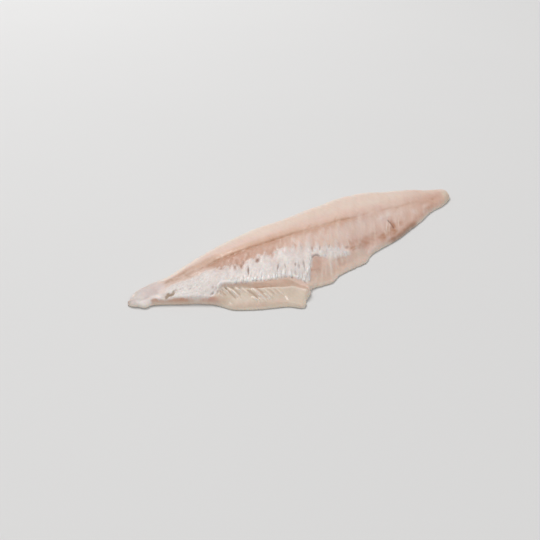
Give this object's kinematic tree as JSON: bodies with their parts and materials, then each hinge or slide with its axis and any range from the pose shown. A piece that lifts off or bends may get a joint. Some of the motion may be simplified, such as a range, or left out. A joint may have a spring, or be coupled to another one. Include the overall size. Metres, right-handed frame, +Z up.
{
  "type": "pouting fillet",
  "caption": "Raw skinned fish fillet lying flat, inner side up: thick domed loin, blunt nape, tapering tail, white belly lining and a thin belly flap cut square.",
  "frame": {"origin": "middle of the bounding box on the flat underside that the fillet rests on", "axes": "+X from the nape to the tail, +Y from the belly edge to the back edge, +Z up out of the inner side"},
  "size_m": [0.2254, 0.0792, 0.0135],
  "materials": {
    "flesh": "raw fish flesh, moist and slightly translucent, pale cream to peach with a white belly lining and a brown-pink cut wall"
  },
  "bodies": {
    "root": {"fillet": "flesh"}
  },
  "joints": []
}
